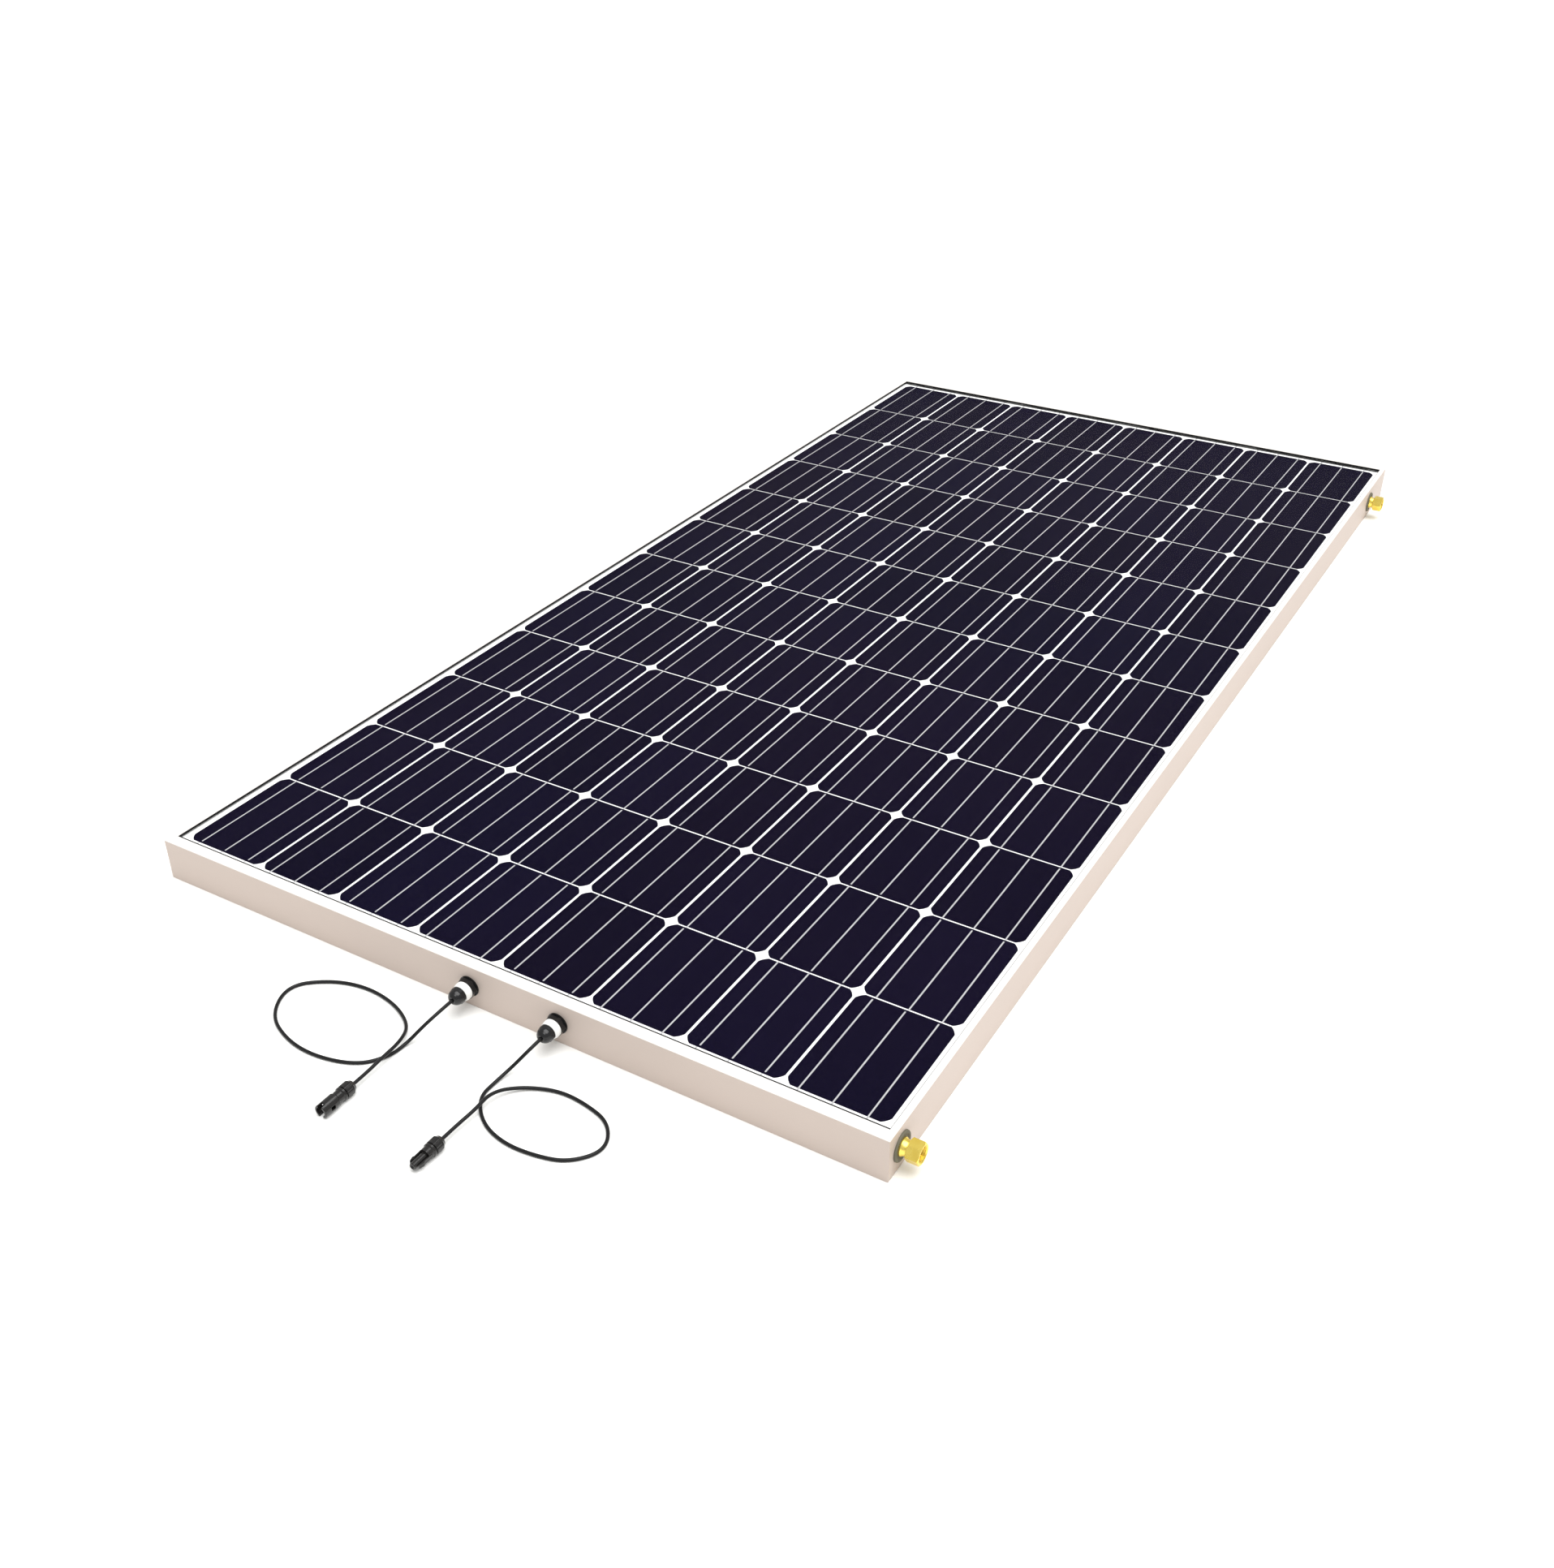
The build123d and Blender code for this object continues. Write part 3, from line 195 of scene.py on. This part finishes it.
class Nodes:
    """One material's node tree, with short calls for the nodes used here."""

    def __init__(self, name):
        self.material = bpy.data.materials.new(name)
        self.material.use_nodes = True
        self.tree = self.material.node_tree
        self.tree.nodes.clear()
        self.coords = self.add("ShaderNodeTexCoord").outputs["Object"]

    def add(self, kind, **settings):
        """New node with its plain settings."""
        node = self.tree.nodes.new(kind)
        for key, value in settings.items():
            setattr(node, key, value)
        return node

    def link(self, source, target):
        """Connect a socket to an input, or set the input when source is a plain value."""
        if isinstance(source, bpy.types.NodeSocket):
            self.tree.links.new(source, target)
        else:
            target.default_value = source

    def math(self, operation, a, b=0.0, clamp=False):
        """Scalar arithmetic."""
        node = self.add("ShaderNodeMath", operation=operation, use_clamp=clamp)
        for value, socket in zip((a, b), node.inputs):
            self.link(value, socket)
        return node.outputs[0]

    def average(self, first, second, share):
        """Weighted mean: this share of the first value and the rest of the second."""
        rest = self.math("MULTIPLY", second, 1 - share)
        return self.math("ADD", self.math("MULTIPLY", first, share), rest)

    def axis(self, index):
        """One object coordinate, in metres."""
        node = self.add("ShaderNodeSeparateXYZ")
        self.link(self.coords, node.inputs[0])
        return node.outputs[index]

    def noise(self, scale, detail, stretch=EVEN, seed=0.0):
        """Noise over object coordinates; stretch above 1 squeezes it along that axis."""
        mapping = self.add("ShaderNodeMapping")
        self.link(self.coords, mapping.inputs["Vector"])
        mapping.inputs["Scale"].default_value = stretch
        mapping.inputs["Location"].default_value = (seed, seed, seed)
        node = self.add("ShaderNodeTexNoise")
        self.link(mapping.outputs[0], node.inputs["Vector"])
        node.inputs["Scale"].default_value = scale
        node.inputs["Detail"].default_value = detail
        return node.outputs["Fac"]

    def spread(self, value, low, high):
        """Map 0..1 to low..high."""
        node = self.add("ShaderNodeMapRange")
        self.link(value, node.inputs["Value"])
        node.inputs["To Min"].default_value = low
        node.inputs["To Max"].default_value = high
        return node.outputs[0]

    def mix(self, factor, first, second):
        """Blend two colours."""
        node = self.add("ShaderNodeMix", data_type="RGBA")
        self.link(factor, node.inputs[MIX_FACTOR])
        self.link(opaque(first), node.inputs[MIX_FIRST])
        self.link(opaque(second), node.inputs[MIX_SECOND])
        return node.outputs[MIX_RESULT]

    def bump(self, height, strength, distance):
        """Bump from a height in 0..1."""
        node = self.add("ShaderNodeBump")
        self.link(height, node.inputs["Height"])
        node.inputs["Strength"].default_value = strength
        node.inputs["Distance"].default_value = distance
        return node.outputs[0]

    def shader(self, colour, roughness, normal=None, **constants):
        """Principled shader to the output; constants are set on its own sockets."""
        node = self.add("ShaderNodeBsdfPrincipled")
        self.link(opaque(colour), node.inputs["Base Color"])
        self.link(roughness, node.inputs["Roughness"])
        if normal is not None:
            self.link(normal, node.inputs["Normal"])
        for key, value in constants.items():
            node.inputs[key.replace("_", " ")].default_value = value
        return self.surface(node)

    def surface(self, shader):
        """The finished material, with this shader as its surface."""
        output = self.add("ShaderNodeOutputMaterial")
        self.link(shader.outputs[0], output.inputs["Surface"])
        return self.material


# ---------------------------------------------------------------- materials
def mottled(name, colours, rough, grain, depth, metallic=0.0, specular=0.5, stretch=EVEN):
    """Surface with a slow colour drift, a fine grain bump and uneven gloss.

    rough is the lowest and highest roughness, grain the fineness of the noise and depth its bump in metres.
    """
    n = Nodes(name)
    drift = n.noise(grain * 0.04, detail=2.0, seed=3.0)
    fine = n.noise(grain, detail=4.0, stretch=stretch)
    colour = n.mix(n.average(drift, fine, share=0.6), *colours)
    roughness = n.spread(n.noise(grain * 0.3, detail=3.0, stretch=stretch, seed=7.0), *rough)
    normal = n.bump(fine, strength=0.35, distance=depth)
    return n.shader(colour, roughness, normal, Metallic=metallic, Specular_IOR_Level=specular)


def cell_colour(n):
    """Near-black navy, a little different in each cell, with a slow purple drift over the panel."""
    column = n.math("FLOOR", n.math("ADD", n.math("DIVIDE", n.axis(0), PITCH_X), CELL_COLUMNS / 2))
    row = n.math("FLOOR", n.math("ADD", n.math("DIVIDE", n.axis(1), PITCH_Y), CELL_ROWS / 2))
    index = n.math("ADD", n.math("MULTIPLY", row, CELL_COLUMNS), column)
    chance = n.add("ShaderNodeTexWhiteNoise", noise_dimensions="1D")
    n.link(index, chance.inputs["W"])
    base = n.mix(chance.outputs["Value"], *CELL)
    drift = n.spread(n.noise(1.6, detail=1.0), 0.0, TINT_STRENGTH)
    return n.mix(drift, base, CELL_TINT)


def cell_material():
    """Dark silicon with fine silver grid fingers across each cell."""
    n = Nodes("cell_silicon")
    silicon = cell_colour(n)
    phase = n.math("FRACT", n.math("DIVIDE", n.axis(1), FINGER_PITCH))
    finger = n.math("LESS_THAN", phase, FINGER_SHARE)
    colour = n.mix(n.math("MULTIPLY", finger, FINGER_STRENGTH), silicon, FINGER_SILVER)
    roughness = n.spread(n.noise(60.0, detail=2.0), 0.38, 0.46)
    normal = n.bump(n.noise(400.0, detail=1.0), strength=0.05, distance=0.00001)
    return n.shader(colour, roughness, normal, Specular_IOR_Level=0.01)


def pane_material(name, tint, shine, roughness):
    """Clear sheet: light passes straight through, and shine is its reflection from above and edge on."""
    n = Nodes(name)
    clear = n.add("ShaderNodeBsdfTransparent")
    clear.inputs["Color"].default_value = opaque(tint)
    gloss = n.add("ShaderNodeBsdfGlossy")
    n.link(n.spread(n.noise(30.0, detail=2.0), roughness * 0.8, roughness), gloss.inputs["Roughness"])
    facing = n.add("ShaderNodeLayerWeight")
    flatness = n.math("POWER", facing.outputs["Facing"], SHINE_POWER)
    blend = n.add("ShaderNodeMixShader")
    n.link(n.spread(flatness, *shine), blend.inputs[0])
    n.link(clear.outputs[0], blend.inputs[1])
    n.link(gloss.outputs[0], blend.inputs[2])
    return n.surface(blend)


def ribbon_material():
    """Tinned ribbon: bright satin with faint solder waves along its length."""
    n = Nodes("tinned_ribbon")
    waves = n.noise(700.0, detail=2.0, stretch=(1, 0.25, 1))
    colour = n.mix(waves, *RIBBON)
    roughness = n.spread(n.noise(1500.0, detail=2.0, seed=2.0), 0.35, 0.55)
    normal = n.bump(waves, strength=0.3, distance=0.00005)
    return n.shader(colour, roughness, normal, Metallic=0.35)


def rail_material():
    """Satin anodised extrusion: warm silver with fine die lines; the lip tops are painted paler, a painted
    highlight for the light falling on them from above.
    """
    n = Nodes("anodised_rail")
    lines = n.noise(40.0, detail=4.0, stretch=(0.15, 0.15, 60.0))
    cloud = n.noise(3.0, detail=3.0)
    dust = n.noise(900.0, detail=2.0)
    wall = n.mix(n.average(lines, cloud, share=0.35), *RAIL_WALL)
    # painted light: the lip tops blend toward a paler colour with height, standing for the light that falls
    # on them
    height = n.math("DIVIDE", n.math("SUBTRACT", n.axis(2), LIP_PAINTED_LIGHT_Z), LIP_PAINTED_LIGHT_REACH, clamp=True)
    colour = n.mix(height, wall, RAIL_LIP_PAINTED_LIGHT)
    roughness = n.spread(dust, 0.45, 0.62)
    grain = n.math("ADD", lines, n.math("MULTIPLY", dust, 0.3))
    normal = n.bump(grain, strength=0.15, distance=0.00004)
    return n.shader(colour, roughness, normal, Metallic=0.25, Specular_IOR_Level=0.4)


def brass_material():
    """Bright turned brass with fine tool lines and slightly darker clouds."""
    n = Nodes("turned_brass")
    lines = n.noise(500.0, detail=2.0, stretch=(8.0, 1.0, 1.0))
    clouds = n.noise(70.0, detail=2.0, seed=5.0)
    colour = n.mix(n.average(lines, clouds, share=0.2), *BRASS)
    roughness = n.spread(clouds, 0.20, 0.32)
    normal = n.bump(lines, strength=0.05, distance=0.00002)
    return n.shader(colour, roughness, normal, Metallic=0.85)


def copper_material():
    """Drawn copper tube, smoother where it is paler."""
    n = Nodes("drawn_copper")
    patches = n.noise(24.0, detail=4.0)
    lines = n.noise(400.0, detail=3.0, stretch=(0.3, 0.05, 1.0), seed=4.0)
    roughness = n.spread(patches, 0.42, 0.28)
    normal = n.bump(lines, strength=0.15, distance=0.00004)
    return n.shader(n.mix(patches, *COPPER), roughness, normal, Metallic=1.0)


def wool_material():
    """Mineral wool: matted yellow-brown fibres."""
    n = Nodes("mineral_wool")
    fibres = n.noise(420.0, detail=6.0, stretch=(0.25, 1.0, 1.0))
    normal = n.bump(fibres, strength=0.8, distance=0.0012)
    return n.shader(n.mix(fibres, *WOOL), 0.95, normal, Specular_IOR_Level=0.1)


def black_finish(name, rough, grain, specular=0.5, colours=BLACK):
    """Moulded black plastic or rubber."""
    return mottled(name, colours, rough, grain, depth=0.00005, specular=specular)


def laminate_materials():
    """Glass, films, cells, ribbons and their seal."""
    return {
        "cover_glass": pane_material("cover_glass", GLASS_TINT, shine=(0.001, 0.05), roughness=0.10),
        "clear_film": pane_material("clear_film", FILM_TINT, shine=(0.0, 0.002), roughness=0.40),
        "cell": cell_material(),
        "tinned_ribbon": ribbon_material(),
        "white_film": mottled("white_film", WHITE_FILM, (0.55, 0.7), 700.0, depth=0.00004),
        "black_seal": black_finish("black_seal", (0.5, 0.7), 900.0, specular=0.1),
    }


def sheet_finish(name, rough, grain, metallic, stretch):
    """Rolled sheet, with its grain drawn out one way."""
    return mottled(name, SHEET_METAL, rough, grain, depth=0.00003, metallic=metallic, stretch=stretch)


def casing_materials():
    """Rails, keys, cover, rivets, vents and what lies inside."""
    return {
        "anodised_rail": rail_material(),
        "mineral_wool": wool_material(),
        "absorber": sheet_finish("mill_sheet", (0.32, 0.48), 300.0, metallic=0.9, stretch=ROLLED_Y),
        "cover_sheet": sheet_finish("cover_sheet", (0.38, 0.52), 260.0, metallic=0.7, stretch=ROLLED_X),
        "key_metal": mottled("cast_keys", MID_METAL, (0.45, 0.65), 500.0, depth=0.0001, metallic=0.8),
        "rivet_metal": mottled("rivet_metal", MID_METAL, (0.3, 0.45), 900.0, depth=0.00003, metallic=0.9),
        "vent_plastic": black_finish("vent_plastic", (0.45, 0.6), 1200.0),
    }


def pipe_materials():
    """Tubes, unions, washers and the wall grommets."""
    return {
        "copper": copper_material(),
        "brass": brass_material(),
        "fibre": mottled("red_fibre", RED_FIBRE, (0.7, 0.85), 1500.0, depth=0.00005),
        "grommet_rubber": mottled("grommet_rubber", OLIVE_RUBBER, (0.6, 0.75), 1200.0, depth=0.00006),
    }


def electric_materials():
    """Junction box, leads, glands and connectors."""
    return {
        "box_plastic": black_finish("box_plastic", (0.4, 0.55), 1200.0),
        "diode_body": black_finish("diode_body", (0.3, 0.4), 1500.0),
        "terminal_metal": mottled(
            "terminal_metal", PALE_BRASS, (0.3, 0.45), 900.0, depth=0.00003, metallic=0.9
        ),
        "lead_sheath": black_finish("lead_sheath", (0.3, 0.42), 1500.0, specular=0.2),
        "white_nylon": mottled("white_nylon", WHITE_NYLON, (0.3, 0.45), 900.0, depth=0.00004),
        "black_nylon": black_finish("black_nylon", (0.14, 0.24), 1100.0, specular=0.4),
        "seal_rubber": mottled("seal_rubber", GREY_RUBBER, (0.6, 0.75), 1200.0, depth=0.00005),
        "plug_plastic": black_finish(
            "plug_plastic", (0.13, 0.24), 1100.0, specular=0.45, colours=PLUG_BLACK
        ),
        "contact_metal": mottled("contact_metal", TINNED, (0.2, 0.35), 900.0, depth=0.00002, metallic=1.0),
    }


def build_materials():
    """One material for each slot of the record."""
    return {**laminate_materials(), **casing_materials(), **pipe_materials(), **electric_materials()}


def paint_nodes(materials):
    """Give every CAD node its slot's material."""
    for entry in frame["record"]["subparts"]:
        mesh = nodes[entry["node"]].data
        mesh.materials.clear()
        mesh.materials.append(materials[entry["material_slot"]])


# ---------------------------------------------------------------- cords
def cord_curve(name, route, material):
    """Round lead on a smooth spline whose control points are the CAD route."""
    curve = bpy.data.curves.new(name, "CURVE")
    curve.dimensions = "3D"
    curve.bevel_depth = LEAD_DIAMETER / 2
    curve.bevel_resolution = LEAD_ROUNDNESS
    curve.resolution_u = LEAD_SMOOTHNESS
    curve.use_fill_caps = True
    spline = curve.splines.new("NURBS")
    spline.points.add(len(route) - 1)
    for point, place in zip(spline.points, route):
        point.co = (*place, 1.0)
    spline.order_u = 3
    spline.use_endpoint_u = True
    curve.materials.append(material)
    piece = bpy.data.objects.new(name, curve)
    bpy.context.scene.collection.objects.link(piece)
    return piece


def add_cords(materials):
    """Both free leads as smooth curves on their CAD routes, in place of the hidden CAD cables."""
    leads = (
        ("left_lead", LEFT_ROUTE, LEFT_LENGTH, "left_cable", PIN_PLUG),
        ("right_lead", RIGHT_ROUTE, RIGHT_LENGTH, "right_cable", SOCKET_PLUG),
    )
    for name, route, length, node, plug in leads:
        piece = cord_curve(name, route, materials["lead_sheath"])
        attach(piece, "casing")
        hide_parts(node)


# ---------------------------------------------------------------- threads
def thread_rings(nut):
    """The ridge's triangular section at each step round the inside of a union nut, as lists of points."""
    low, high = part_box(nut)
    middle = (low + high) / 2
    start_x = low.x + THREAD_FROM_BACK
    turns = (high.x - THREAD_FROM_MOUTH - start_x) / THREAD_PITCH
    half = THREAD_HALF_SHARE * THREAD_PITCH
    section = ((-half, THREAD_ROOT_R), (0.0, THREAD_CREST_R), (half, THREAD_ROOT_R))
    rings = []
    for step in range(int(turns * THREAD_STEPS) + 1):
        turn = step / THREAD_STEPS
        x = start_x + THREAD_PITCH * turn
        across, up = cos(tau * turn), sin(tau * turn)
        rings.append([(x + dx, middle.y + r * across, middle.z + r * up) for dx, r in section])
    return rings


def thread_mesh(name, nut):
    """Triangular ridge winding along the inside of a union nut, closed at both ends."""
    bm = bmesh.new()
    rings = [[bm.verts.new(place) for place in ring] for ring in thread_rings(nut)]
    for ring, after in zip(rings, rings[1:]):
        for index in range(len(ring)):
            following = (index + 1) % len(ring)
            bm.faces.new((ring[index], ring[following], after[following], after[index]))
    bm.faces.new(rings[0])
    bm.faces.new(reversed(rings[-1]))
    bmesh.ops.recalc_face_normals(bm, faces=bm.faces)
    mesh = bpy.data.meshes.new(name)
    bm.to_mesh(mesh)
    bm.free()
    return mesh


def add_threads(materials):
    """Pipe thread in both union nuts."""
    for body in ("front_union", "back_union"):
        name = f"{body}_thread"
        piece = bpy.data.objects.new(name, thread_mesh(name, f"{body}_nut"))
        piece.data.materials.append(materials["brass"])
        bpy.context.scene.collection.objects.link(piece)
        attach(piece, body)


# ---------------------------------------------------------------- stage
def add_floor():
    """Plain pale floor under the casing."""
    bpy.ops.mesh.primitive_plane_add(size=2 * FLOOR_HALF, location=(0, 0, -FLOOR_DROP))
    floor = bpy.context.object
    floor.name = "floor"
    n = Nodes("floor_pale")
    tone = n.mix(n.noise(2.0, detail=2.0), *FLOOR)
    floor.data.materials.append(n.shader(tone, 0.9, Specular_IOR_Level=0.1))


def add_light():
    """Even studio light: a white backdrop and a wide soft source overhead, a little to the right."""
    world = bpy.data.worlds.new("studio")
    world.use_nodes = True
    tree = world.node_tree
    background = tree.nodes["Background"]
    background.inputs["Color"].default_value = opaque(WORLD_COLOUR)
    rays = tree.nodes.new("ShaderNodeLightPath")
    strength = tree.nodes.new("ShaderNodeMapRange")
    strength.inputs["To Min"].default_value = WORLD_STRENGTH
    strength.inputs["To Max"].default_value = BACKDROP_STRENGTH
    tree.links.new(rays.outputs["Is Camera Ray"], strength.inputs["Value"])
    tree.links.new(strength.outputs[0], background.inputs["Strength"])
    bpy.context.scene.world = world
    data = bpy.data.lights.new("overhead", "SUN")
    data.energy = OVERHEAD_ENERGY
    data.angle = radians(OVERHEAD_SPREAD)
    lamp = bpy.data.objects.new("overhead", data)
    lamp.rotation_euler = Vector(OVERHEAD_DIRECTION).to_track_quat("-Z", "Y").to_euler()
    bpy.context.scene.collection.objects.link(lamp)


def add_camera():
    """Camera at the photograph's viewing angle."""
    data = bpy.data.cameras.new("camera")
    data.lens = LENS_MM
    data.sensor_width = SENSOR_MM
    camera = bpy.data.objects.new("camera", data)
    camera.location = CAMERA_PLACE
    direction = Vector(CAMERA_AIM) - Vector(CAMERA_PLACE)
    camera.rotation_euler = direction.to_track_quat("-Z", "Y").to_euler()
    bpy.context.scene.collection.objects.link(camera)
    bpy.context.scene.camera = camera


def set_view():
    """Plain colour transform for a clean white studio look."""
    bpy.context.scene.view_settings.view_transform = "Standard"


materials = build_materials()
paint_nodes(materials)
add_cords(materials)
add_threads(materials)
add_floor()
add_light()
add_camera()
set_view()
